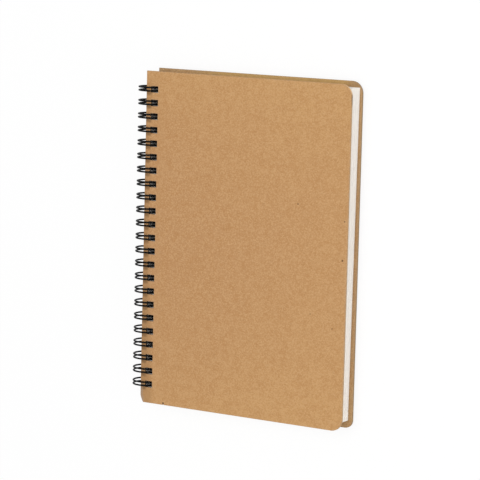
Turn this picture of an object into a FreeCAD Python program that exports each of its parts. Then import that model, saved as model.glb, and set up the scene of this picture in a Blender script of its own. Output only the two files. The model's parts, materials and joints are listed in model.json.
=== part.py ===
import FreeCAD, Part
import os
import Sketcher

# An A5 notebook with kraft board covers and a twin-loop wire binding, lying flat on its back.
# +Z is up through the front cover, +Y points to the head, and the wire runs along Y at -X.
# The origin is at the bottom centre of the box around the whole notebook.

Vector = FreeCAD.Vector
doc = FreeCAD.newDocument("Notebook")

# Driving sizes, in millimetres and degrees
SIZES = [
    ("cover_length", 210.8, "back cover along the spine"),
    ("cover_width", 148.0, "front cover from the spine edge to the fore edge"),
    ("front_short", 1.2, "front cover shorter than the back cover, at the head"),
    ("back_narrow", 0.4, "back cover narrower than the front cover, at the fore edge"),
    ("board", 1.4, "thickness of each cover board"),
    ("corner_radius", 7.5, "rounded fore-edge corners of the covers"),
    ("back_tail_radius", 5.0, "the back cover's tail corner at the fore edge, cut a little squarer"),
    ("clip_across", 2.0, "worn tail corner of the front cover, across"),
    ("clip_along", 4.6, "worn tail corner of the front cover, along the spine"),
    ("stack", 11.8, "thickness of the sheets together"),
    ("sheet_inset", 4.25, "sheets shorter than the back cover at head and tail"),
    ("spine_inset", 0.8, "sheets back from the covers at the spine"),
    ("fore_inset", 2.7, "sheets back from the front cover at the fore edge"),
    ("sheet_turn", 0.35, "angle by which the sheets sit askew"),
    ("sheet_rise", 0.9, "how much nearer the head the sheets sit"),
    ("pitch", 8.4667, "hole spacing, three to the inch"),
    ("end_room", 8.4, "least distance from an end hole's centre to head or tail"),
    ("wire_drop", 0.35, "how much nearer the tail the wire sits"),
    ("hole_margin", 3.4, "board between the spine edge and a hole"),
    ("hole_play", 0.4, "room beside each pair of wires in a hole"),
    ("hole_slack", 1.6, "room past the wire at the far end of a cover's hole"),
    ("wire", 1.1, "wire diameter"),
    ("legs", 2.1, "spacing of the two wires of a loop"),
    ("bend", 0.8, "radius of the bends at the wire's base"),
    ("wire_clear", 0.1, "wire clear of the hole's edge"),
    ("sheet_clear", 0.3, "wire clear of the sheets' hole"),
    ("seam_clear", 0.2, "seam clear of the sheets and the back cover"),
    ("seam_gap", 0.35, "tips clear of the base of the loops"),
    ("seam_ramp", 4.0, "length over which the sheets rise over the seam"),
    ("spine_gap", 0.2, "gap between the spine edges with a cover laid open"),
]

sheet = doc.addObject("Spreadsheet::Sheet", "Sizes")
for row, (alias, value, meaning) in enumerate(SIZES, start=1):
    sheet.set("A%d" % row, alias)
    sheet.set("B%d" % row, str(value))
    sheet.set("C%d" % row, meaning)
    sheet.setAlias("B%d" % row, alias)
doc.recompute()


def cell(alias):
    return "Sizes." + alias


# Sizes that follow from the driving ones, as expressions on the sheet
THICK = "(Sizes.stack + 2 * Sizes.board)"
HALF = "(%s / 2)" % THICK
AXIS_X = "(-Sizes.spine_gap / 2)"
HOLE_TALL = "(Sizes.legs + Sizes.wire + 2 * Sizes.hole_play)"
LOOPS = "(floor((Sizes.cover_length - 2 * Sizes.end_room) / Sizes.pitch) + 1)"
FIRST_Y = "(-Sizes.wire_drop - (%s - 1) / 2 * Sizes.pitch)" % LOOPS
# The inside of the wire just passes the edge of the hole in a cover's outer face.
RING = "(sqrt((Sizes.hole_margin - %s)^2 + %s^2) + Sizes.wire / 2 + Sizes.wire_clear)" % (AXIS_X, HALF)
REACH = "(%s + Sizes.wire / 2)" % RING
COVER_HOLE_END = "(%s + sqrt(%s^2 - (Sizes.stack / 2)^2) + Sizes.hole_slack)" % (AXIS_X, REACH)
SHEET_HOLE_END = "(%s + %s + Sizes.sheet_clear)" % (AXIS_X, REACH)
# The base of the loops lies in the space between the last sheet and the back cover.
SEAM_Z = "(Sizes.board + Sizes.wire / 2 + Sizes.seam_clear)"
RELIEF = "(Sizes.wire + 2 * Sizes.seam_clear)"
SEAM_R = "sqrt(%s^2 + Sizes.bend^2)" % RING
SEAM_ANGLE = "(asin((%s - %s) / %s) / 1deg)" % (HALF, SEAM_Z, SEAM_R)
BEND_ANGLE = "(atan(Sizes.bend / %s) / 1deg)" % RING
BASE_ANGLE = "(%s - %s)" % (BEND_ANGLE, SEAM_ANGLE)
TIP_BACK = "((Sizes.wire + Sizes.seam_gap) / %s * 180 / pi)" % RING
TIP_ANGLE = "(360 - %s - %s - atan(Sizes.legs / 2 / %s) / 1deg)" % (SEAM_ANGLE, TIP_BACK, RING)
SEAM_END_X = "(%s + %s * cos(%s * 1deg) + Sizes.wire)" % (AXIS_X, SEAM_R, SEAM_ANGLE)
# Where the spine edge, mid length and bottom of the covers stand in the notebook's frame
PLACE_X = "((%s - %s - Sizes.cover_width) / 2)" % (REACH, AXIS_X)
PLACE_Z = "(%s - %s)" % (REACH, HALF)


def make_body(name):
    body = doc.addObject("PartDesign::Body", name)
    body.Label = name
    body.setExpression("Placement.Base.x", PLACE_X)
    body.setExpression("Placement.Base.z", PLACE_Z)
    return body


def add_sketch(body, role, name, base=None, turn_axis=None, turn=None):
    sketch = body.newObject("Sketcher::SketchObject", name)
    plane = [item for item in body.Origin.OriginFeatures if item.Role == role][0]
    sketch.AttachmentSupport = [(plane, "")]
    sketch.MapMode = "FlatFace"
    if turn_axis is not None:
        sketch.AttachmentOffset = FreeCAD.Placement(Vector(), FreeCAD.Rotation(turn_axis, 10))
        sketch.setExpression("AttachmentOffset.Rotation.Angle", turn)
    for axis, value in zip("xyz", base or ()):
        sketch.setExpression("AttachmentOffset.Base." + axis, value)
    return sketch


def drive(sketch, kind, name, picks, value):
    index = sketch.addConstraint(Sketcher.Constraint(kind, *picks, 1.0))
    sketch.renameConstraint(index, name)
    sketch.setExpression("Constraints." + name, value)


def closed_outline(sketch, points):
    """Straight outline through points whose coordinates are given as expressions."""
    count = len(points)
    seeds = [Vector(sketch.evalExpression(x), sketch.evalExpression(y), 0) for x, y in points]
    for k in range(count):
        sketch.addGeometry(Part.LineSegment(seeds[k], seeds[(k + 1) % count]), False)
    for k in range(count):
        sketch.addConstraint(Sketcher.Constraint("Coincident", k, 2, (k + 1) % count, 1))
    for k, (x, y) in enumerate(points):
        drive(sketch, "DistanceX", "x%d" % k, (-1, 1, k, 1), x)
        drive(sketch, "DistanceY", "y%d" % k, (-1, 1, k, 1), y)


def rectangle(sketch, left, right, low, high):
    closed_outline(sketch, [(left, low), (right, low), (right, high), (left, high)])


def wire_section(sketch, across, along):
    seed = Vector(sketch.evalExpression(across), sketch.evalExpression(along), 0)
    sketch.addGeometry(Part.Circle(seed, Vector(0, 0, 1), 0.5), False)
    drive(sketch, "DistanceX", "across", (-1, 1, 0, 3), across)
    drive(sketch, "DistanceY", "along", (-1, 1, 0, 3), along)
    drive(sketch, "Diameter", "thick", (0,), cell("wire"))


def add_pad(body, sketch, name, length, reverse=False):
    pad = body.newObject("PartDesign::Pad", name)
    pad.Profile = sketch
    pad.setExpression("Length", length)
    pad.Reversed = reverse
    return pad


def add_turning(body, sketch, name, axis, angle, reverse=False):
    turning = body.newObject("PartDesign::Revolution", name)
    turning.Profile = sketch
    turning.ReferenceAxis = (sketch, [axis])
    turning.setExpression("Angle", angle)
    turning.Reversed = reverse
    return turning


def through_pocket(body, sketch, name):
    """Cut right through, both ways, and make sure that something was cut."""
    doc.recompute()
    before = body.Shape.Volume
    pocket = body.newObject("PartDesign::Pocket", name)
    pocket.Profile = sketch
    pocket.Type = "ThroughAll"
    pocket.Midplane = True
    doc.recompute()
    if not body.Shape.Volume < before:
        raise RuntimeError(name + " cuts nothing")
    return pocket


def along_spine(body, features, sketch, name, count):
    pattern = body.newObject("PartDesign::LinearPattern", name)
    pattern.Originals = features
    pattern.Direction = (sketch, ["V_Axis"])
    pattern.setExpression("Occurrences", count)
    pattern.setExpression("Length", "(%s - 1) * Sizes.pitch" % count)
    body.Tip = pattern
    doc.recompute()
    return pattern


def punch(body, hole_end):
    """The row of holes that the wire passes through."""
    sketch = add_sketch(body, "XY_Plane", body.Label + "_hole_outline")
    low = "(%s - %s / 2)" % (FIRST_Y, HOLE_TALL)
    high = "(%s + %s / 2)" % (FIRST_Y, HOLE_TALL)
    rectangle(sketch, cell("hole_margin"), hole_end, low, high)
    hole = through_pocket(body, sketch, body.Label + "_hole")
    along_spine(body, [hole], sketch, body.Label + "_holes", LOOPS)


def upright_edge(shape, x, y):
    """Name of the straight edge along Z that is nearest to x, y."""
    found = []
    for number, edge in enumerate(shape.Edges, start=1):
        start = edge.Vertexes[0].Point
        end = edge.Vertexes[-1].Point
        if abs(start.x - end.x) + abs(start.y - end.y) < 1e-6:
            found.append((abs(start.x - x) + abs(start.y - y), "Edge%d" % number))
    return min(found)[1]


def round_corner(body, name, y, radius):
    """Round the board's upright fore edge at y."""
    board = body.Tip
    rounding = body.newObject("PartDesign::Fillet", name)
    rounding.Base = (board, [upright_edge(board.Shape, board.Shape.BoundBox.XMax, y)])
    rounding.setExpression("Radius", radius)
    doc.recompute()


def make_cover(name, short, narrow, height, tail_radius):
    """A board with square spine corners and rounded fore-edge corners."""
    body = make_body(name)
    sketch = add_sketch(body, "XY_Plane", name + "_outline", ("0", "0", height))
    low = "(-Sizes.cover_length / 2)"
    high = "(Sizes.cover_length / 2 - %s)" % short
    rectangle(sketch, "0", "(Sizes.cover_width - %s)" % narrow, low, high)
    board = add_pad(body, sketch, name + "_board", cell("board"))
    doc.recompute()
    box = board.Shape.BoundBox
    round_corner(body, name + "_tail_corner", box.YMin, tail_radius)
    round_corner(body, name + "_head_corner", box.YMax, cell("corner_radius"))
    return body


def make_front_cover():
    top = THICK + " - Sizes.board"
    body = make_cover("front_cover", cell("front_short"), "0", top, cell("corner_radius"))
    rounded = body.Tip
    box = rounded.Shape.BoundBox
    clip = body.newObject("PartDesign::Chamfer", "front_cover_worn_corner")
    clip.Base = (rounded, [upright_edge(rounded.Shape, box.XMin, box.YMin)])
    clip.ChamferType = "Two distances"
    clip.setExpression("Size", cell("clip_along"))
    clip.setExpression("Size2", cell("clip_across"))
    doc.recompute()
    punch(body, COVER_HOLE_END)
    return body


def make_back_cover():
    body = make_cover("back_cover", "0", cell("back_narrow"), "0", cell("back_tail_radius"))
    punch(body, COVER_HOLE_END)
    return body


def make_page_block():
    """All the sheets as one block, a little askew, risen over the wire's seam along the spine."""
    body = make_body("page_block")
    middle_x = "((Sizes.spine_inset + Sizes.cover_width - Sizes.fore_inset) / 2)"
    half_wide = "((Sizes.cover_width - Sizes.fore_inset - Sizes.spine_inset) / 2)"
    half_long = "(Sizes.cover_length / 2 - Sizes.sheet_inset)"
    place = (middle_x, cell("sheet_rise"), cell("board"))
    outline = add_sketch(body, "XY_Plane", "page_block_outline", place, Vector(0, 0, -1), cell("sheet_turn"))
    rectangle(outline, "-" + half_wide, half_wide, "-" + half_long, half_long)
    add_pad(body, outline, "page_block_sheets", cell("stack"))

    relief = add_sketch(body, "XZ_Plane", "page_block_relief_outline")
    top = "(Sizes.board + %s)" % RELIEF
    ramp_end = "(%s + Sizes.seam_ramp)" % SEAM_END_X
    outside = "(-Sizes.cover_width / 4)"
    corners = [(outside, "0"), (ramp_end, "0"), (ramp_end, cell("board")), (SEAM_END_X, top), (outside, top)]
    closed_outline(relief, corners)
    through_pocket(body, relief, "page_block_relief")
    punch(body, SHEET_HOLE_END)
    return body


def make_wire():
    """One wire: at each hole a long hairpin round the spine, joined to the next at its base."""
    body = make_body("twin_loop_wire")
    body.AllowCompound = True
    backward = Vector(0, -1, 0)
    half_legs = "(Sizes.legs / 2)"

    def radial_sketch(name, along, angle):
        place = (AXIS_X, "%s + %s" % (FIRST_Y, along), HALF)
        return add_sketch(body, "XY_Plane", name, place, backward, angle)

    sweep = "(%s - %s)" % (TIP_ANGLE, BASE_ANGLE)
    fingers = []
    for side, sign in (("tail", "-"), ("head", "")):
        section = radial_sketch("leg_section_" + side, "0", BASE_ANGLE)
        wire_section(section, RING, sign + half_legs)
        fingers.append(add_turning(body, section, "leg_" + side, "V_Axis", sweep, True))
    section = radial_sketch("tip_section", "0", TIP_ANGLE)
    wire_section(section, RING, half_legs)
    fingers.append(add_turning(body, section, "tip", "H_Axis", "180"))
    doc.recompute()
    along_spine(body, fingers, section, "fingers", LOOPS)

    near = "(%s + Sizes.bend)" % half_legs
    far = "(Sizes.pitch - %s - Sizes.bend)" % half_legs
    joins = []
    section = radial_sketch("base_bend_near_section", near, BASE_ANGLE)
    wire_section(section, RING, "-Sizes.bend")
    joins.append(add_turning(body, section, "base_bend_near", "H_Axis", "90"))
    place = (AXIS_X, HALF, "-(%s + %s)" % (FIRST_Y, near))
    straight = add_sketch(body, "XZ_Plane", "base_section", place, Vector(0, 0, 1), BASE_ANGLE)
    wire_section(straight, RING, "-Sizes.bend")
    joins.append(add_pad(body, straight, "base_run", "%s - %s" % (far, near), True))
    section = radial_sketch("base_bend_far_section", far, BASE_ANGLE)
    wire_section(section, RING, cell("bend"))
    joins.append(add_turning(body, section, "base_bend_far", "H_Axis", "90", True))
    doc.recompute()
    along_spine(body, joins, section, "joins", "(%s - 1)" % LOOPS)
    return body


pieces = [make_front_cover(), make_back_cover(), make_page_block(), make_wire()]
doc.recompute()

for item in doc.Objects:
    if "Invalid" in item.State or "Error" in item.State:
        raise RuntimeError(item.Name + " failed: " + str(item.State))
os.makedirs("parts", exist_ok=True)
for piece in pieces:
    shape = piece.Shape
    if shape.isNull() or not shape.isValid() or len(shape.Solids) != 1:
        raise RuntimeError(piece.Label + " is not one valid solid")
    shape.exportStep("parts/" + piece.Label + ".step")
    print(piece.Label, round(shape.Volume, 3), shape.BoundBox)
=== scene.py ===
import json
import math

import bmesh
import bpy
from bpy.props import FloatProperty, FloatVectorProperty, IntProperty, PointerProperty
from mathutils import Euler, Matrix, Vector
from mathutils.geometry import tessellate_polygon


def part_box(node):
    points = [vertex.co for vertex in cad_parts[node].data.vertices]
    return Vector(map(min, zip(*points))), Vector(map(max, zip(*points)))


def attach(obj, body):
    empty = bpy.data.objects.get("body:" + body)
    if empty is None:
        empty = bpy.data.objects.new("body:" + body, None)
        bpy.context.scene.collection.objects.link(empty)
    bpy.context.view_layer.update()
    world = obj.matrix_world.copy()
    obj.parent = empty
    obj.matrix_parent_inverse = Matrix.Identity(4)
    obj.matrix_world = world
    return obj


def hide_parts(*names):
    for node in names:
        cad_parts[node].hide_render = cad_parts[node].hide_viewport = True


bl_info = {
    "name": "Kraft Notebook",
    "version": (1, 0, 0),
    "blender": (4, 5, 0),
    "location": "View3D > Sidebar > Notebook",
    "description": "Kraft board covers, a block of sheets and a black twin-loop wire",
    "category": "Object",
}

# +Z is up through the front cover, +Y points to the head, and the wire runs along Y at -X.
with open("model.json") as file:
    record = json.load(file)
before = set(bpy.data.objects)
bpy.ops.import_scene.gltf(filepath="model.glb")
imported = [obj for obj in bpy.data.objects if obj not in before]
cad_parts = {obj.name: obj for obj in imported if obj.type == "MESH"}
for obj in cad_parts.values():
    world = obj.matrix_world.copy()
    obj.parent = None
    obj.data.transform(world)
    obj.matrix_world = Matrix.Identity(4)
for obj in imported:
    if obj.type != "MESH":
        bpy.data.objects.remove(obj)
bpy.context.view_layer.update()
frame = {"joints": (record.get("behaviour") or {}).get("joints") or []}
MM = 0.001
FRONT_LOW, FRONT_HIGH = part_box("front_cover")
BACK_LOW, BACK_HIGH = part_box("back_cover")
SHEETS_LOW, SHEETS_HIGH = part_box("page_block")
WIRE_LOW, WIRE_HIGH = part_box("twin_loop_wire")
SPINE_X = FRONT_LOW.x
LOOP_AXIS = Vector(frame["joints"][0]["pos_m"])

# Dark specks on the covers' outer faces: across, along and radius, in millimetres. The front
# cover's are where the photograph shows them, and the back cover's are made up.
FRONT_SPECKS = [
    (43.6, 30.1, 0.50),
    (76.6, 22.2, 0.48),
    (75.8, -1.4, 0.62),
    (54.3, -35.9, 0.38),
    (70.0, -43.3, 0.42),
    (-51.8, -104.3, 0.75),
]
BACK_SPECKS = [(-21.0, 48.5, 0.4), (33.0, -62.0, 0.35), (58.5, 71.0, 0.3)]
# Nick in the front cover's tail edge: its place across, its width and its depth
NICK = (-51.8, 1.1, 0.35)
# Painted highlight and painted shade on the front cover's cut edge: across, along and radius
EDGE_HIGHLIGHT = [(75.8, 102.6, 5.2)]
EDGE_SHADE = [(78.7, 94.6, 3.6)]
# Grey scuffs along the spine edge: across, along and half length. Their width is a share of it.
FRONT_SCUFFS = [(-69.3, -97.6, 6.6), (-67.6, -103.4, 3.0)]
BACK_SCUFFS = [(-69.5, 101.2, 3.5)]
SCUFF_SLIM = 0.3
# Each pair below is where a mark is nothing and where it is full, in millimetres.
# Painted shadows of the loops on the board: how far beside a loop they lie, and their end, from the spine
# edge
LOOP_SHADOW_ASIDE = 2.6
LOOP_SHADOW_END = (4.8, 3.0)
# Painted shade along the spine margin, from the spine edge
MARGIN_SHADE_END = (6.0, 0.5)
# The back cover's head strip, along, and its stretch of painted light and its corner of painted shade,
# across
STRIP_START = (102.0, 103.4)
HEAD_LIGHT_FROM, HEAD_LIGHT_TO = (-50.0, -15.0), (72.0, 64.0)
CORNER_SHADE_FROM = (68.0, 74.0)
# Where painted light makes the sheets' paper whiter, along
PAPER_LIGHT_TOWARDS = (40.0, -100.0)

# Random seed of the shuffled sheets
SHUFFLE_SEED = 7
# Straight steps in a loop, in each bend at its base and in half its tip, and sides of the wire
LEG_STEPS, BEND_STEPS, TIP_STEPS, WIRE_SIDES = 56, 5, 6, 12
# Steps in a cover's rounded corner and in a punched hole's
COVER_ARC, HOLE_ARC = 20, 3
HOLE_CORNER = 0.3 * MM
# Points on the worn corner, as shares of its size across and along, and how far they bulge
WORN_POINTS = ((0.3, 0.66), (0.68, 0.28))
WORN_BULGE = 0.12 * MM
# Slack for comparing two places
TINY = 1e-6

# The camera's sensor is in millimetres, and its view and the floor are in metres.
SENSOR_WIDTH = 36.0
VIEW_END = 50.0
FLOOR_HALF = 8.0
FLOOR_DROP = 0.05 * MM
WHITE = (1.0, 1.0, 1.0, 1.0)
# Each lamp's name, its setting, its width and its place, in metres
LAMPS = (
    ("key_box", "key", 1.2, (0.3, 0.2, 1.45)),
    ("side_box", "side", 0.9, (1.5, -0.25, 0.5)),
)


def linear(red, green, blue):
    """A screen colour, 0 to 255, as the linear light that the shaders use."""
    shares = (red / 255, green / 255, blue / 255)
    return tuple(s / 12.92 if s <= 0.04045 else ((s + 0.055) / 1.055) ** 2.4 for s in shares)


def length(name, description, default):
    return FloatProperty(
        name=name,
        description=description,
        default=default,
        min=0.0,
        precision=5,
        unit="LENGTH",
        subtype="DISTANCE",
    )


def factor(name, description, default):
    return FloatProperty(name=name, description=description, default=default, subtype="FACTOR", max=1.0)


def colour(name, description, screen):
    return FloatVectorProperty(
        name=name,
        description=description,
        default=linear(*screen),
        size=3,
        min=0.0,
        max=1.0,
        subtype="COLOR",
    )


class CoverSettings(bpy.types.PropertyGroup):
    corner_radius: length("Corner Radius", "Rounded corners at the fore edge", 7.5 * MM)
    back_tail_radius: length("Back Tail Radius", "The back cover's squarer corner at the tail", 5.0 * MM)
    soft_edge: length("Soft Edge", "Rounding of the board's pressed rims", 0.16 * MM)
    rim: length("Rim", "Width of the scuffed band along edges and holes", 1.0 * MM)
    worn_across: length("Worn Corner Across", "Worn tail corner of the front cover, across", 2.0 * MM)
    worn_along: length("Worn Corner Along", "Worn tail corner of the front cover, along the spine", 4.6 * MM)
    hole_length: length("Hole Length", "Holes for the wire, from the spine side inwards", 5.28 * MM)
    kraft: colour("Kraft", "Uncoated brown face of the board", (192, 147, 99))
    # The back cover's board is a darker copy of the front's kraft: painted shade
    back_kraft: colour("Back Kraft", "Duller board of the back cover", (180, 144, 103))
    core: colour("Core", "Cut edge of the front cover", (182, 150, 114))
    # The back cover's cut edge is a darker copy of the front's: painted shade
    shaded_back_core: colour("Back Core", "Cut edge of the back cover", (150, 124, 92))


class SheetSettings(bpy.types.PropertyGroup):
    sheets: IntProperty(name="Sheets", description="Number of sheets in the block", default=100, min=1)
    fill: factor("Fill", "Share of the block's thickness that is paper", 0.98)
    shuffle: length("Shuffle", "How far single sheets lie out of line", 0.1 * MM)
    turn: FloatProperty(
        name="Turn",
        description="Angle by which the sheets sit askew",
        default=math.radians(-0.35),
        subtype="ANGLE",
    )
    seam_rise: length("Seam Rise", "How far the last sheet lifts over the wire's seam", 1.5 * MM)
    seam_end: length("Seam End", "Where the lift begins to fall, from the spine edge", 8.11 * MM)
    ramp: length("Ramp", "Length over which the lift falls to nothing", 4.0 * MM)
    hole_length: length("Hole Length", "Holes for the wire, from the spine side inwards", 6.1 * MM)
    paper: colour("Paper", "Uncoated white paper", (250, 246, 240))


class WireSettings(bpy.types.PropertyGroup):
    loops: IntProperty(name="Loops", description="Number of twin loops", default=23, min=2)
    pitch: length("Pitch", "Spacing of the loops, three to the inch", 8.4667 * MM)
    thickness: length("Thickness", "Diameter of the coated wire", 1.1 * MM)
    legs: length("Legs", "Spacing of the two wires of a loop", 2.1 * MM)
    bend: length("Bend", "Radius of the bends at the base of the loops", 0.8 * MM)
    hole_margin: length("Hole Margin", "Board between the spine edge and a hole", 3.4 * MM)
    hole_width: length("Hole Width", "Size of a hole along the spine", 4.0 * MM)
    seam_clear: length("Seam Clear", "Seam above the back cover", 0.2 * MM)
    tip_gap: length("Tip Gap", "Tips clear of the base of the loops", 0.35 * MM)
    enamel: colour("Enamel", "Black coating of the wire", (8, 8, 9))


class StageSettings(bpy.types.PropertyGroup):
    camera_place: FloatVectorProperty(
        name="Camera Place",
        description="Where the photograph was taken from",
        default=(0.85240, 0.21025, 1.33822),
        size=3,
        subtype="TRANSLATION",
        unit="LENGTH",
    )
    camera_turn: FloatVectorProperty(
        name="Camera Turn",
        description="The photograph's viewing direction",
        default=[math.radians(a) for a in (-6.53084, 32.91623, 1.71969)],
        size=3,
        subtype="EULER",
        unit="ROTATION",
    )
    focal: FloatProperty(name="Focal Length", description="On a sensor 36 mm wide", default=194.0, min=1.0)
    ambient: FloatProperty(name="Ambient", description="Even light from all round", default=0.55, min=0.0)
    key: FloatProperty(name="Key", description="Large lamp above", default=11.5, min=0.0, subtype="POWER")
    side: FloatProperty(
        name="Side", description="Low lamp beside the fore edge", default=4.0, min=0.0, subtype="POWER"
    )
    floor_white: factor("Floor White", "How far the floor is seen as plain white", 0.87)


class Value:
    """One socket of a node tree. Arithmetic on it adds Math nodes."""

    def __init__(self, tree, socket):
        self.tree = tree
        self.socket = socket

    def math(self, operation, *operands):
        return self.tree.node("ShaderNodeMath", {"operation": operation}, dict(enumerate(operands)))

    def __add__(self, other):
        return self.math("ADD", self, other)

    def __radd__(self, other):
        return self.math("ADD", other, self)

    def __sub__(self, other):
        return self.math("SUBTRACT", self, other)

    def __rsub__(self, other):
        return self.math("SUBTRACT", other, self)

    def __mul__(self, other):
        return self.math("MULTIPLY", self, other)

    def __rmul__(self, other):
        return self.math("MULTIPLY", other, self)

    def __truediv__(self, other):
        return self.math("DIVIDE", self, other)

    def __abs__(self):
        return self.math("ABSOLUTE", self)

    def floor(self):
        return self.math("FLOOR", self)

    def most(self, other):
        return self.math("MAXIMUM", self, other)

    def fade(self, start, end):
        """0 at start and before it, 1 at end and past it, smooth between."""
        values = {"Value": self, "From Min": start, "From Max": end}
        return self.tree.node("ShaderNodeMapRange", {"interpolation_type": "SMOOTHSTEP"}, values)


class Tree:
    """A node tree that is being written."""

    def __init__(self, tree):
        self.tree = tree

    def node(self, kind, settings=None, values=None, out=0):
        """Add a node: its settings first, then the values or links of its sockets.

        Returns the chosen output, or the node itself where it has none.
        """
        made = self.tree.nodes.new(kind)
        for key, value in (settings or {}).items():
            setattr(made, key, value)
        for key, value in (values or {}).items():
            socket = made.inputs[key]
            if isinstance(value, Value):
                self.tree.links.new(value.socket, socket)
            elif value is not None:
                socket.default_value = value
        return Value(self, made.outputs[out]) if len(made.outputs) else made


class Finish(Tree):
    """A procedural material, with coordinates in millimetres on the piece."""

    def __init__(self, name):
        self.material = bpy.data.materials.new(name)
        self.material.use_nodes = True
        super().__init__(self.material.node_tree)
        self.tree.nodes.clear()
        place = self.node("ShaderNodeTexCoord", out="Object")
        self.place = self.node("ShaderNodeVectorMath", {"operation": "SCALE"}, {0: place, "Scale": 1 / MM})

    def axis(self, name):
        """The coordinate along X, Y or Z."""
        return self.node("ShaderNodeSeparateXYZ", None, {0: self.place}, out=name)

    def mix(self, share, under, over):
        """Two colours blended: under where share is 0 and over where it is 1."""
        under, over = (c if isinstance(c, Value) else (*c, 1.0) for c in (under, over))
        settings = {"data_type": "RGBA", "clamp_factor": True}
        return self.node("ShaderNodeMix", settings, {0: share, 6: under, 7: over}, out=2)

    def wash(self, tone, layers):
        """A colour with further colours laid over it in turn, each by its own share."""
        for share, over in layers:
            tone = self.mix(share, tone, over)
        return tone

    def noise(self, size, detail=2.0, rough=0.5, place=None):
        """Cloudy pattern with features about size millimetres across."""
        values = {"Vector": place or self.place, "Scale": 1 / size, "Detail": detail, "Roughness": rough}
        return self.node("ShaderNodeTexNoise", None, values)

    def fibres(self, angle, long, thin, least, shift=0.0):
        """Short fibres lying near one direction in the sheet: 1 on a fibre and 0 between."""
        values = {
            "Vector": self.place,
            "Location": (shift, shift * 0.7, 0.0),
            "Rotation": (0.0, 0.0, math.radians(angle)),
            "Scale": (1 / long, 1 / thin, 1 / thin),
        }
        place = self.node("ShaderNodeMapping", None, values)
        pattern = self.node("ShaderNodeTexNoise", None, {"Vector": place, "Scale": 1.0, "Detail": 1.0})
        return pattern.fade(least, least + 0.1)

    def attribute(self, name):
        return self.node("ShaderNodeAttribute", {"attribute_name": name}, out="Fac")

    def spots(self, marks, height, slim=1.0):
        """1 inside each mark on the face at height, 0 elsewhere.

        A mark is slim times as wide as it is long.
        """
        blotchy = self.noise(0.3, 2.0)
        values = {"Vector": self.place, "Scale": (1 / slim, 1.0, 1.0)}
        stretched = self.node("ShaderNodeMapping", None, values)
        total = None
        for across, along, radius in marks:
            values = {0: stretched, 1: (across / slim, along, height)}
            far = self.node("ShaderNodeVectorMath", {"operation": "DISTANCE"}, values, out="Value")
            mark = (far + blotchy * (radius * 0.9)).fade(radius * 1.6, radius * 1.1)
            total = mark if total is None else total.most(mark)
        return total

    def bump(self, height, strength, distance):
        values = {"Strength": strength, "Distance": distance, "Height": height}
        return self.node("ShaderNodeBump", None, values)

    def surface(self, **values):
        """Close the material with one Principled shader. Keys are its socket names with underscores."""
        named = {key.replace("_", " "): value for key, value in values.items()}
        shader = self.node("ShaderNodeBsdfPrincipled", None, named)
        self.node("ShaderNodeOutputMaterial", None, {"Surface": shader})
        return self.material


def shade(tone, amount):
    """A colour made lighter, above 1, or darker, below 1."""
    return tuple(min(1.0, part * amount) for part in tone)


def tint(tone, by):
    """A colour with its red, green and blue each multiplied by a number of its own."""
    return tuple(k * part for k, part in zip(by, tone))


def painted_wire_shade(f, across, along, wire):
    """Shares of two painted shades: each loop's shadow on its tail side, and shade along the spine margin.
    """
    pitch, spine = wire.pitch / MM, SPINE_X / MM
    first, last = (place / MM for place in (loop_places(wire)[0], loop_places(wire)[-1]))
    bound = along.fade(last + 1.0, last) * along.fade(first - 6.0, first - 5.0)
    beat = (along - first) / pitch + 0.5
    off_loop = (beat - beat.floor() - 0.5) * pitch
    beside = abs(off_loop + LOOP_SHADOW_ASIDE)
    ragged = f.noise(1.4, 2.0) - 0.5
    reach = (across + ragged).fade(*(spine + end for end in LOOP_SHADOW_END))
    # Painted shadow that each loop casts on its tail side
    painted_loop_shadow = (beside + ragged).fade(2.0, 0.3) * reach * bound
    # Painted shade along the spine margin, under the loops
    painted_margin_shade = (across + along * 0.05 + ragged * 2).fade(*(spine + end for end in MARGIN_SHADE_END))
    return painted_loop_shadow, painted_margin_shade


def painted_head_strip(across, along):
    """Shares of two marks at the head: painted light past the other cover, and painted shade at the corner.
    """
    strip = along.fade(*STRIP_START)
    painted_strip_light = strip * across.fade(*HEAD_LIGHT_FROM) * across.fade(*HEAD_LIGHT_TO)
    return painted_strip_light, strip * across.fade(*CORNER_SHADE_FROM)


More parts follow.
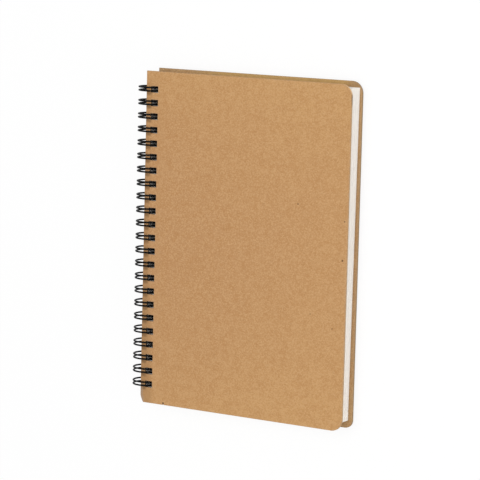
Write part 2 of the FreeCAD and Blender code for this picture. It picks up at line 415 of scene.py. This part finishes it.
def kraft_face(name, kraft, specks, scuffs, height, wire, paints_head_strip):
    """Uncoated kraft board: cloudy brown with fibres, light and dark flecks and scuffed rims, with painted
    light and shade across the face, by the loops and at the back cover's head.
    """
    f = Finish(name)
    kraft = tuple(kraft)
    grey = sum(kraft) / 3
    dull = tuple(part * 0.6 + grey * 0.4 for part in kraft)
    clouds = f.noise(38.0, 3.0)
    mottle = f.noise(5.0, 4.0, 0.6)
    grain = f.noise(0.9, 3.0, 0.65)
    pale = f.fibres(82, 1.6, 0.16, 0.60).most(f.fibres(55, 1.3, 0.14, 0.62, 31.0))
    dark = f.fibres(97, 1.9, 0.17, 0.62, 57.0).most(f.fibres(120, 1.4, 0.15, 0.63, 83.0))
    across, along = f.axis("X"), f.axis("Y")
    # Painted light and shade: lighter and yellower towards the fore edge and both ends, darker and redder in
    # the middle and at the spine, mixed with large random clouds
    painted_light_and_clouds = (across * 0.5 + along * along * 0.009 + (clouds - 0.5) * 60).fade(-60, 150)
    cells = {"Vector": f.place, "Scale": 1 / 4.6}
    near = f.node("ShaderNodeTexVoronoi", None, cells, out="Distance")
    pick = f.node("ShaderNodeTexVoronoi", None, cells, out="Color")
    pick = f.node("ShaderNodeSeparateColor", None, {"Color": pick}, out="Red")
    fleck = near.fade(0.055, 0.03) * pick.fade(0.55, 0.6)
    bits = f.noise(0.5, 1.0).fade(0.74, 0.8)
    scuff = f.attribute("rim").fade(0.35, 1.0) * f.noise(1.6, 3.0, 0.7).fade(0.42, 0.66)
    painted_loop_shadow, painted_margin_shade = painted_wire_shade(f, across, along, wire)
    # The pulp turns lighter or darker by the same step in red, green and blue on a screen.
    even = tint(kraft, (0.71, 1.12, 1.69))
    cloud_tone, light_grain, dark_grain, pale_fibre = (
        tuple(part + step * by for part, by in zip(kraft, even)) for step in (-0.24, 0.22, -0.2, 0.4)
    )
    layers = [
        (mottle.fade(0.6, 0.36) * 0.36, cloud_tone),
        (grain.fade(0.48, 0.62) * 0.62, light_grain),
        (grain.fade(0.5, 0.36) * 0.5, dark_grain),
        (pale * 0.4, pale_fibre),
        (dark * 0.3, shade(kraft, 0.5)),
        (fleck * 0.6, shade(kraft, 0.42)),
        (bits * 0.5, shade(kraft, 0.5)),
        (f.spots(specks, height) * 0.9, shade(kraft, 0.2)),
        (scuff * 0.5, shade(dull, 0.94)),
        # Painted shade along the spine margin
        (painted_margin_shade * 0.6, shade(kraft, 0.72)),
        # Painted shadow of the loops
        (painted_loop_shadow * 0.6, shade(kraft, 0.3)),
        (f.spots(scuffs, height, SCUFF_SLIM) * 0.8, shade(dull, 0.85)),
    ]
    # Painted light on the back cover's head strip, and painted shade at its corner
    if paints_head_strip:
        painted_strip_light, painted_corner_shade = painted_head_strip(across, along)
        layers += [(painted_strip_light * 0.44, tint(kraft, (1.32, 1.38, 0.86))), (painted_corner_shade * 0.4, shade(kraft, 0.6))]
    # The darker, redder end and the lighter, yellower end of the painted light
    tone = f.mix(painted_light_and_clouds, tint(kraft, (0.92, 0.895, 0.94)), tint(kraft, (1.08, 1.11, 1.06)))
    relief = mottle * 0.5 + grain * 0.35 + pale * 0.25 - dark * 0.2 - fleck * 0.5
    return f.surface(
        Base_Color=f.wash(tone, layers),
        Roughness=0.86 + 0.1 * grain,
        Specular_IOR_Level=0.28,
        Normal=f.bump(relief, 0.35, 0.06 * MM),
    )


def cut_edge(name, kraft, core, pale, dark, height):
    """The board's cut edge: a felted core between two brown skins, with painted shade in the holes and a
    painted highlight and painted shade where marked.
    """
    f = Finish(name)
    kraft, core = tuple(kraft), tuple(core)
    depth = f.attribute("depth")
    values = {"Vector": f.place, "Scale": (0.35, 0.35, 6.0)}
    stretched = f.node("ShaderNodeMapping", None, values)
    plies = f.noise(1.0, 3.0, 0.6, stretched)
    felt = f.noise(0.28, 3.0, 0.7)
    skin = (abs(depth - 0.5) + felt * 0.06).fade(0.40, 0.46)
    layers = [(felt.fade(0.5, 0.75) * 0.5, shade(core, 1.35)), (skin * 0.75, shade(kraft, 0.84))]
    # Painted highlight on the pale marks and painted shade on the dark marks
    for marks, amount in ((pale, 1.75), (dark, 0.35)):
        if marks:
            layers.append((f.spots(marks, height) * 0.8, shade(core, amount)))
    # Painted shade on the walls of the holes
    layers.append((f.attribute("hole") * (0.7 + 0.2 * felt), shade(core, 0.04)))
    tone = f.mix(plies.fade(0.35, 0.68), shade(core, 0.78), shade(core, 1.16))
    return f.surface(
        Base_Color=f.wash(tone, layers),
        Roughness=0.92,
        Specular_IOR_Level=0.2,
        Normal=f.bump(plies * 0.6 + felt * 0.4, 0.6, 0.09 * MM),
    )


def paper_finish(paper):
    """Uncoated white paper, each sheet's cut edge a touch different, with painted light towards the tail and
    painted shade in the holes.
    """
    f = Finish("white_paper")
    paper = tuple(paper)
    formation = f.noise(1.8, 3.0, 0.6)
    layers = (
        (formation.fade(0.4, 0.7) * 0.2, shade(paper, 0.96)),
        # Painted light: the paper whiter towards the tail
        (f.axis("Y").fade(*PAPER_LIGHT_TOWARDS) * 0.8, shade(paper, 1.03)),
        # Painted shade on the walls of the holes
        (f.attribute("hole") * (0.86 + 0.12 * formation), shade(paper, 0.02)),
    )
    fibre = f.fibres(90, 0.9, 0.12, 0.6)
    return f.surface(
        Base_Color=f.wash(f.mix(f.attribute("tone"), shade(paper, 0.93), paper), layers),
        Roughness=0.82 + 0.1 * formation,
        Specular_IOR_Level=0.3,
        Normal=f.bump(fibre * 0.5 + formation, 0.2, 0.02 * MM),
    )


def enamel_finish(enamel):
    """Glossy black coating, a little uneven, with fine rubbed marks."""
    f = Finish("black_enamel")
    enamel = tuple(enamel)
    uneven = f.noise(1.2, 3.0, 0.6)
    rubbed = f.noise(0.35, 2.0, 0.6).fade(0.62, 0.76)
    base = f.mix(rubbed * 0.6, enamel, shade(enamel, 2.6))
    return f.surface(
        Base_Color=base,
        Roughness=0.26 + 0.16 * uneven + 0.2 * rubbed,
        Specular_IOR_Level=0.03,
        Coat_Weight=0.06 - 0.03 * rubbed,
        Coat_Roughness=0.1,
        Normal=f.bump(uneven, 0.12, 0.03 * MM),
    )


def loop_places(wire):
    """Middle of each pair of wires along the spine."""
    middle = (WIRE_LOW.y + WIRE_HIGH.y) / 2
    return [middle + (k - (wire.loops - 1) / 2) * wire.pitch for k in range(wire.loops)]


def arc(centre, radius, start, end, steps):
    """Points on an arc, angles in degrees."""
    angles = [math.radians(start + (end - start) * k / steps) for k in range(steps + 1)]
    return [(centre[0] + radius * math.cos(a), centre[1] + radius * math.sin(a)) for a in angles]


def cover_outline(low, high, settings, worn):
    """The cover's outline, anticlockwise from the spine at the tail."""
    r = settings.corner_radius
    tail_r = r if worn else settings.back_tail_radius
    if worn:
        across, along = settings.worn_across, settings.worn_along
        start = [(low.x, low.y + along)]
        start += [(low.x + across * x - WORN_BULGE, low.y + along * y) for x, y in WORN_POINTS]
        start.append((low.x + across, low.y))
        nick, wide, deep = (part * MM for part in NICK)
        start += [(nick - wide / 2, low.y), (nick - wide / 5, low.y + deep * 0.8)]
        start += [(nick + wide / 8, low.y + deep), (nick + wide / 2, low.y)]
    else:
        start = [(low.x, low.y)]
    tail = arc((high.x - tail_r, low.y + tail_r), tail_r, -90, 0, COVER_ARC)
    head = arc((high.x - r, high.y - r), r, 0, 90, COVER_ARC)
    return start + tail + head + [(low.x, high.y)]


def hole_outline(left, right, middle, width):
    """One punched hole, clockwise, with slightly rounded corners."""
    r = HOLE_CORNER
    low, high = middle - width / 2 + r, middle + width / 2 - r
    corners = ((right - r, low), (right - r, high), (left + r, high), (left + r, low))
    turning = []
    for corner, start in zip(corners, (-90, 0, 90, 180)):
        turning += arc(corner, r, start, start + 90, HOLE_ARC)
    return turning[::-1]


def inset(points, distance):
    """An outline moved into the board, which is on its left."""
    moved = []
    for k, point in enumerate(points):
        here = Vector(point)
        before = (here - Vector(points[k - 1])).normalized()
        after = (Vector(points[(k + 1) % len(points)]) - here).normalized()
        left = [Vector((-way.y, way.x)) for way in (before, after)]
        moved.append(here + (left[0] + left[1]) / (1 + left[0].dot(left[1])) * distance)
    return moved


def board_mesh(name, outlines, low, high, soft, rim):
    """A board with softly rounded rims. The first outline is the edge and the others are its holes."""
    quarter = [math.radians(a) for a in (0, 30, 60, 90)]
    bottom = [(soft * (1 - math.sin(a)), low + soft * (1 - math.cos(a))) for a in quarter]
    top = [(away, low + high - z) for away, z in reversed(bottom)]
    # Each level is how far it lies in from the outline, its height and how scuffed it is.
    levels = [(away, z, 1.0) for away, z in bottom + top]
    levels = [(soft + rim, low, 0.0)] + levels + [(soft + rim, high, 0.0)]
    bm = bmesh.new()
    depth_layer = bm.verts.layers.float.new("depth")
    rim_layer = bm.verts.layers.float.new("rim")
    # The hole layer marks the walls of the holes for painted shade
    hole_shade_layer = bm.faces.layers.float.new("hole")
    caps = {0: [], len(levels) - 1: []}
    for points in outlines:
        rings = []
        for away, z, scuffed in levels:
            ring = [bm.verts.new((*point, z)) for point in inset(points, away)]
            for vert in ring:
                vert[depth_layer] = (z - low) / (high - low)
                vert[rim_layer] = scuffed
            rings.append(ring)
        for step in range(len(levels) - 1):
            wall = step == len(levels) // 2 - 1
            flat = step in (0, len(levels) - 2)
            lower, upper = rings[step], rings[step + 1]
            for k in range(len(points)):
                following = (k + 1) % len(points)
                face = bm.faces.new((lower[k], lower[following], upper[following], upper[k]))
                face.material_index = 1 if wall else 0
                # Walls of the holes carry painted shade
                face[hole_shade_layer] = float(wall and points is not outlines[0])
                face.smooth = not (wall or flat)
        for level in caps:
            caps[level].append(rings[level])
    for level, rings in caps.items():
        verts = [vert for ring in rings for vert in ring]
        up = level > 0
        for picks in tessellate_polygon([[vert.co for vert in ring] for ring in rings]):
            corners = [verts[k] for k in picks]
            turn = (corners[1].co - corners[0].co).cross(corners[2].co - corners[0].co).z
            bm.faces.new(corners if (turn > 0) == up else corners[::-1])
    mesh = bpy.data.meshes.new(name)
    bm.to_mesh(mesh)
    bm.free()
    return mesh


def add_object(name, mesh):
    made = bpy.data.objects.new(name, mesh)
    bpy.context.scene.collection.objects.link(made)
    return made


def grow(name, start, tree, inputs):
    """Run a Geometry Nodes tree on a mesh and keep the result as a plain mesh."""
    piece = add_object(name, start)
    modifier = piece.modifiers.new(name, "NODES")
    modifier.node_group = tree
    for item in tree.interface.items_tree:
        if item.item_type == "SOCKET" and item.in_out == "INPUT" and item.name in inputs:
            modifier[item.identifier] = inputs[item.name]
    ready = piece.evaluated_get(bpy.context.evaluated_depsgraph_get())
    mesh = bpy.data.meshes.new_from_object(ready)
    piece.modifiers.remove(modifier)
    piece.data = mesh
    mesh.name = name
    return piece


def open_tree(name, sockets):
    """A Geometry Nodes tree with named inputs. Returns it with its inputs as Values."""
    group = bpy.data.node_groups.new(name, "GeometryNodeTree")
    group.interface.new_socket("Geometry", in_out="OUTPUT", socket_type="NodeSocketGeometry")
    group.interface.new_socket("Geometry", in_out="INPUT", socket_type="NodeSocketGeometry")
    for label, kind in sockets:
        group.interface.new_socket(label, in_out="INPUT", socket_type="NodeSocket" + kind)
    tree = Tree(group)
    entry = group.nodes.new("NodeGroupInput")
    given = {socket.name: Value(tree, socket) for socket in entry.outputs if socket.name}
    return tree, given


def close_tree(tree, geometry, material):
    geometry = tree.node("GeometryNodeSetMaterial", None, {"Geometry": geometry, "Material": material})
    tree.node("NodeGroupOutput", None, {"Geometry": geometry})
    return tree.tree


def sheet_mesh(settings, wire, spacing):
    """One flat sheet at the bottom of the block, with its holes and with rows of points to bend at."""
    turn = math.tan(settings.turn)
    middle = (SHEETS_LOW + SHEETS_HIGH) / 2
    half = (SHEETS_HIGH - SHEETS_LOW) / 2
    # The box round a turned sheet is wider and longer than the sheet by what its ends swing.
    swing_x = abs(turn) * half.y
    swing_y = abs(turn) * half.x
    hole_start = SPINE_X + wire.hole_margin
    hole_end = hole_start + settings.hole_length - TINY
    inner = [0.0, wire.hole_margin, settings.seam_end, wire.hole_margin + settings.hole_length]
    inner.append(settings.seam_end + settings.ramp)
    columns = [SPINE_X + x for x in inner] + [0.0]
    edges = []
    for place in loop_places(wire):
        edges += [place - wire.hole_width / 2, place + wire.hole_width / 2]
    rows = [0.0] + edges + [0.0]

    def corner(i, j):
        x, y = columns[i], rows[j]
        if j in (0, len(rows) - 1):
            side = -1 if j == 0 else 1
            seen_x = x if 0 < i < len(columns) - 1 else middle.x + (half.x if i else -half.x)
            y = middle.y + side * (half.y - swing_y) + (seen_x - middle.x) * turn
        if i in (0, len(columns) - 1):
            side = -1 if i == 0 else 1
            x = middle.x + side * (half.x - swing_x) - (y - middle.y) * turn
        return x, y

    bm = bmesh.new()
    # The hole layer marks the walls of the holes for painted shade
    hole_shade_layer = bm.faces.layers.float.new("hole")
    thick = spacing * settings.fill
    layers = []
    for z in (SHEETS_LOW.z, SHEETS_LOW.z + thick):
        layer = []
        for i in range(len(columns)):
            layer.append([bm.verts.new((*corner(i, j), z)) for j in range(len(rows))])
        layers.append(layer)

    def is_hole(i, j):
        inside = hole_start <= columns[i] < hole_end
        return 0 < i < len(columns) - 1 and 0 < j < len(rows) - 1 and inside and j % 2 == 1

    def filled(i, j):
        return 0 <= i < len(columns) - 1 and 0 <= j < len(rows) - 1 and not is_hole(i, j)

    low, high = layers
    for i in range(len(columns) - 1):
        for j in range(len(rows) - 1):
            if not filled(i, j):
                continue
            around = [(i, j), (i + 1, j), (i + 1, j + 1), (i, j + 1)]
            bm.faces.new([high[a][b] for a, b in around])
            bm.faces.new([low[a][b] for a, b in reversed(around)])
            neighbours = [(i, j - 1), (i + 1, j), (i, j + 1), (i - 1, j)]
            for k, beside in enumerate(neighbours):
                if not filled(*beside):
                    (a, b), (c, d) = around[k], around[(k + 1) % 4]
                    wall = bm.faces.new((low[a][b], low[c][d], high[c][d], high[a][b]))
                    # Walls of the holes carry painted shade
                    wall[hole_shade_layer] = float(is_hole(*beside))
    for vert in [v for v in bm.verts if not v.link_faces]:
        bm.verts.remove(vert)
    mesh = bpy.data.meshes.new("sheet")
    bm.to_mesh(mesh)
    bm.free()
    return mesh


def sheet_tree():
    """Stacks one sheet into the block, shuffles the sheets a little and lifts them over the seam."""
    sockets = [("Sheets", "Int"), ("Spacing", "Float"), ("Shuffle", "Float"), ("Rise", "Float")]
    sockets += [("Ramp Start", "Float"), ("Ramp End", "Float"), ("Bottom", "Float"), ("Height", "Float")]
    sockets += [("Seed", "Int"), ("Paper", "Material")]
    t, given = open_tree("stacked_sheets", sockets)
    step = t.node("ShaderNodeCombineXYZ", None, {"Z": given["Spacing"]})
    line = t.node("GeometryNodeMeshLine", {"mode": "OFFSET"}, {"Count": given["Sheets"], "Offset": step})
    spread = {"data_type": "FLOAT_VECTOR"}
    chance = t.node("FunctionNodeRandomValue", spread, {0: (-1, -1, 0), 1: (1, 1, 0), "Seed": given["Seed"]})
    aside = t.node("ShaderNodeVectorMath", {"operation": "SCALE"}, {0: chance, "Scale": given["Shuffle"]})
    places = t.node("GeometryNodeSetPosition", None, {"Geometry": line, "Offset": aside})
    spread = {"data_type": "FLOAT"}
    lot = t.node("FunctionNodeRandomValue", spread, {2: 0.0, 3: 1.0, "Seed": given["Seed"]}, out=1)
    settings = {"data_type": "FLOAT", "domain": "POINT"}
    named = {"Geometry": places, "Name": "tone", "Value": lot}
    places = t.node("GeometryNodeStoreNamedAttribute", settings, named)
    copies = t.node("GeometryNodeInstanceOnPoints", None, {"Points": places, "Instance": given["Geometry"]})
    block = t.node("GeometryNodeRealizeInstances", None, {"Geometry": copies})
    position = t.node("GeometryNodeInputPosition")
    x = t.node("ShaderNodeSeparateXYZ", None, {0: position}, out="X")
    z = t.node("ShaderNodeSeparateXYZ", None, {0: position}, out="Z")
    share = x.fade(given["Ramp End"], given["Ramp Start"])
    depth = 1 - (z - given["Bottom"]) / given["Height"]
    lift = t.node("ShaderNodeCombineXYZ", None, {"Z": given["Rise"] * share * depth})
    block = t.node("GeometryNodeSetPosition", None, {"Geometry": block, "Offset": lift})
    return close_tree(t, block, given["Paper"])


def loop_points(wire):
    """Centre line of one twin loop, from halfway along one base run to halfway along the next."""
    centre = LOOP_AXIS
    ring = centre.x - WIRE_LOW.x - wire.thickness / 2
    half_legs = wire.legs / 2
    seam_height = BACK_HIGH.z + wire.seam_clear + wire.thickness / 2
    seam = -math.asin((centre.z - seam_height) / math.hypot(ring, wire.bend))
    base = seam + math.atan(wire.bend / ring)
    tip_back = (wire.thickness + wire.tip_gap) / ring
    tip = 2 * math.pi + seam - tip_back - math.atan(half_legs / ring)

    def at(angle, y, ahead):
        """A point on the ring's radius, moved ahead along its tangent."""
        x = centre.x + ring * math.cos(angle) - ahead * math.sin(angle)
        z = centre.z + ring * math.sin(angle) + ahead * math.cos(angle)
        return (x, y, z)

    run = [at(base, -wire.pitch / 2, -wire.bend)]
    corner = [math.radians(90 * k / BEND_STEPS) for k in range(BEND_STEPS)]
    bend = [
        at(base, -half_legs - wire.bend * (1 - math.sin(a)), -wire.bend * math.cos(a)) for a in corner
    ]
    leg = [at(base + (tip - base) * k / LEG_STEPS, -half_legs, 0.0) for k in range(LEG_STEPS)]
    turn = [math.radians(90 * k / TIP_STEPS) for k in range(TIP_STEPS + 1)]
    cap = [at(tip, -half_legs * math.cos(a), half_legs * math.sin(a)) for a in turn]
    half = run + bend + leg + cap
    return half + [(x, -y, z) for x, y, z in reversed(half[:-1])]


def wire_tree():
    """Repeats one loop's centre line along the spine as one wire and gives it its thickness."""
    sockets = [("Loops", "Int"), ("Pitch", "Float"), ("First", "Float"), ("Trim", "Float")]
    sockets += [("Radius", "Float"), ("Enamel", "Material")]
    t, given = open_tree("repeated_loops", sockets)
    per_loop = t.node("GeometryNodeAttributeDomainSize", None, {"Geometry": given["Geometry"]})
    line = t.node("GeometryNodeCurvePrimitiveLine", None, {"End": (0, 1, 0)})
    line = t.node("GeometryNodeResampleCurve", None, {"Curve": line, "Count": per_loop * given["Loops"]})
    index = t.node("GeometryNodeInputIndex")
    loop = ((index + 0.5) / per_loop).floor()
    within = index - loop * per_loop
    shape = {"Geometry": given["Geometry"], "Value": t.node("GeometryNodeInputPosition"), "Index": within}
    shape = t.node("GeometryNodeSampleIndex", {"data_type": "FLOAT_VECTOR", "domain": "POINT"}, shape)
    along = t.node("ShaderNodeCombineXYZ", None, {"Y": given["First"] + loop * given["Pitch"]})
    place = t.node("ShaderNodeVectorMath", {"operation": "ADD"}, {0: shape, 1: along})
    path = t.node("GeometryNodeSetPosition", None, {"Geometry": line, "Position": place})
    whole = t.node("GeometryNodeCurveLength", None, {"Curve": path})
    # Trim Curve has two sockets named Start and two named End: numbers 4 and 5 are the lengths.
    ends = {"Curve": path, 4: given["Trim"], 5: whole - given["Trim"]}
    trimmed = t.node("GeometryNodeTrimCurve", {"mode": "LENGTH"}, ends)
    values = {"Resolution": WIRE_SIDES, "Radius": given["Radius"]}
    section = t.node("GeometryNodeCurvePrimitiveCircle", None, values)
    values = {"Curve": trimmed, "Profile Curve": section, "Fill Caps": True}
    tube = t.node("GeometryNodeCurveToMesh", None, values)
    tube = t.node("GeometryNodeSetShadeSmooth", None, {"Geometry": tube, "Shade Smooth": True})
    return close_tree(t, tube, given["Enamel"])


class NOTEBOOK_OT_covers(bpy.types.Operator):
    """Make the front and back cover"""

    bl_idname = "notebook.covers"
    bl_label = "Make Covers"

    def execute(self, context):
        settings, wire = context.scene.notebook_covers, context.scene.notebook_wire
        front, back = (settings.kraft, settings.core), (settings.back_kraft, settings.shaded_back_core)
        covers = (
            ("front", FRONT_LOW, FRONT_HIGH, FRONT_SPECKS, FRONT_SCUFFS, FRONT_HIGH.z, front),
            ("back", BACK_LOW, BACK_HIGH, BACK_SPECKS, BACK_SCUFFS, BACK_LOW.z, back),
        )
        left = SPINE_X + wire.hole_margin
        for body, low, high, specks, scuffs, face, (kraft, core) in covers:
            is_front = body == "front"
            outlines = [cover_outline(low, high, settings, is_front)]
            for middle in loop_places(wire):
                outlines.append(hole_outline(left, left + settings.hole_length, middle, wire.hole_width))
            mesh = board_mesh(body + "_board", outlines, low.z, high.z, settings.soft_edge, settings.rim)
            # Only the back cover gets the painted light and shade at its head
            marks = (specks, scuffs, face / MM, wire, not is_front)
            mesh.materials.append(kraft_face(body + "_kraft", kraft, *marks))
            # The front cover's cut edge gets its painted highlight and painted shade
            pale, dark = (EDGE_HIGHLIGHT, EDGE_SHADE) if is_front else ([], [])
            middle_height = (low.z + high.z) / 2 / MM
            mesh.materials.append(cut_edge(body + "_cut_edge", kraft, core, pale, dark, middle_height))
            board = add_object(body + "_board", mesh)
            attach(board, body)
            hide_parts(body + "_cover")
        return {"FINISHED"}


class NOTEBOOK_OT_sheets(bpy.types.Operator):
    """Make the block of sheets"""

    bl_idname = "notebook.sheets"
    bl_label = "Make Sheets"

    def execute(self, context):
        settings, wire = context.scene.notebook_sheets, context.scene.notebook_wire
        height = SHEETS_HIGH.z - SHEETS_LOW.z
        spacing = height / settings.sheets
        inputs = {
            "Sheets": settings.sheets,
            "Spacing": spacing,
            "Shuffle": settings.shuffle,
            "Rise": settings.seam_rise,
            "Ramp Start": SPINE_X + settings.seam_end,
            "Ramp End": SPINE_X + settings.seam_end + settings.ramp,
            "Bottom": SHEETS_LOW.z,
            "Height": height,
            "Seed": SHUFFLE_SEED,
            "Paper": paper_finish(settings.paper),
        }
        block = grow("paper_sheets", sheet_mesh(settings, wire, spacing), sheet_tree(), inputs)
        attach(block, "book")
        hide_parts("page_block")
        return {"FINISHED"}


class NOTEBOOK_OT_wire(bpy.types.Operator):
    """Make the twin-loop wire"""

    bl_idname = "notebook.wire"
    bl_label = "Make Wire"

    def execute(self, context):
        wire = context.scene.notebook_wire
        points = loop_points(wire)
        loop = bpy.data.meshes.new("one_loop")
        loop.from_pydata(points, [(k, k + 1) for k in range(len(points) - 1)], [])
        run = (wire.pitch - wire.legs) / 2 - wire.bend
        inputs = {
            "Loops": wire.loops,
            "Pitch": wire.pitch,
            "First": loop_places(wire)[0],
            "Trim": run + wire.bend * math.pi / 2,
            "Radius": wire.thickness / 2,
            "Enamel": enamel_finish(wire.enamel),
        }
        binding = grow("black_twin_loops", loop, wire_tree(), inputs)
        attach(binding, "book")
        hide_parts("twin_loop_wire")
        return {"FINISHED"}


class NOTEBOOK_OT_stage(bpy.types.Operator):
    """Make the floor, the light and the photograph's camera"""

    bl_idname = "notebook.stage"
    bl_label = "Make Stage"

    def execute(self, context):
        settings = context.scene.notebook_stage
        bm = bmesh.new()
        bmesh.ops.create_grid(bm, x_segments=1, y_segments=1, size=FLOOR_HALF)
        mesh = bpy.data.meshes.new("pale_floor")
        bm.to_mesh(mesh)
        bm.free()
        mesh.transform(Matrix.Translation((0, 0, -FLOOR_DROP)))
        floor = add_object("pale_floor", mesh)
        t = Tree(self.new_floor(mesh))
        seen = self.seen(t) * settings.floor_white
        matt = t.node("ShaderNodeBsdfDiffuse", None, {"Color": WHITE})
        white = t.node("ShaderNodeEmission", None, {"Color": WHITE, "Strength": 1.0})
        mixed = t.node("ShaderNodeMixShader", None, {0: seen, 1: matt, 2: white})
        t.node("ShaderNodeOutputMaterial", None, {"Surface": mixed})

        world = bpy.data.worlds.new("soft_studio")
        world.use_nodes = True
        world.node_tree.nodes.clear()
        t = Tree(world.node_tree)
        even = t.node("ShaderNodeBackground", None, {"Color": WHITE, "Strength": settings.ambient})
        white = t.node("ShaderNodeBackground", None, {"Color": WHITE, "Strength": 1.0})
        mixed = t.node("ShaderNodeMixShader", None, {0: self.seen(t), 1: even, 2: white})
        t.node("ShaderNodeOutputWorld", None, {"Surface": mixed})
        context.scene.world = world

        for name, power, width, place in LAMPS:
            light = bpy.data.lights.new(name, "AREA")
            light.size = width
            light.energy = getattr(settings, power)
            lamp = add_object(name, light)
            lamp.location = place
            lamp.rotation_euler = (-lamp.location).to_track_quat("-Z", "Y").to_euler()

        camera = bpy.data.cameras.new("photograph")
        camera.sensor_width = SENSOR_WIDTH
        camera.lens = settings.focal
        camera.clip_end = VIEW_END
        view = add_object("photograph", camera)
        view.location = settings.camera_place
        view.rotation_euler = Euler(settings.camera_turn)
        context.scene.camera = view
        context.scene.view_settings.view_transform = "Standard"
        return {"FINISHED"}

    @staticmethod
    def new_floor(mesh):
        material = bpy.data.materials.new("floor_white")
        material.use_nodes = True
        material.node_tree.nodes.clear()
        mesh.materials.append(material)
        return material.node_tree

    @staticmethod
    def seen(tree):
        """1 for what the camera sees, straight or in gloss or glass."""
        camera, glossy, glass = (
            tree.node("ShaderNodeLightPath", out=name)
            for name in ("Is Camera Ray", "Is Glossy Ray", "Is Transmission Ray")
        )
        return camera.most(glossy).most(glass)


class NOTEBOOK_PT_panel(bpy.types.Panel):
    """The notebook's pieces and their sizes"""

    bl_idname = "NOTEBOOK_PT_panel"
    bl_label = "Kraft Notebook"
    bl_space_type = "VIEW_3D"
    bl_region_type = "UI"
    bl_category = "Notebook"

    def draw(self, context):
        for operator, settings in STEPS:
            box = self.layout.box()
            box.operator(operator.bl_idname)
            group = getattr(context.scene, settings)
            for name in group.bl_rna.properties.keys():
                if name not in ("name", "rna_type"):
                    box.prop(group, name)


STEPS = (
    (NOTEBOOK_OT_covers, "notebook_covers"),
    (NOTEBOOK_OT_sheets, "notebook_sheets"),
    (NOTEBOOK_OT_wire, "notebook_wire"),
    (NOTEBOOK_OT_stage, "notebook_stage"),
)
SETTINGS = {
    "notebook_covers": CoverSettings,
    "notebook_sheets": SheetSettings,
    "notebook_wire": WireSettings,
    "notebook_stage": StageSettings,
}


def register():
    for group in SETTINGS.values():
        bpy.utils.register_class(group)
    for operator, settings in STEPS:
        bpy.utils.register_class(operator)
        setattr(bpy.types.Scene, settings, PointerProperty(type=SETTINGS[settings]))
    bpy.utils.register_class(NOTEBOOK_PT_panel)


def unregister():
    bpy.utils.unregister_class(NOTEBOOK_PT_panel)
    for operator, settings in reversed(STEPS):
        delattr(bpy.types.Scene, settings)
        bpy.utils.unregister_class(operator)
    for group in reversed(SETTINGS.values()):
        bpy.utils.unregister_class(group)


def main():
    register()
    bpy.ops.notebook.covers()
    bpy.ops.notebook.sheets()
    bpy.ops.notebook.wire()
    bpy.ops.notebook.stage()


if __name__ == "__main__":
    main()
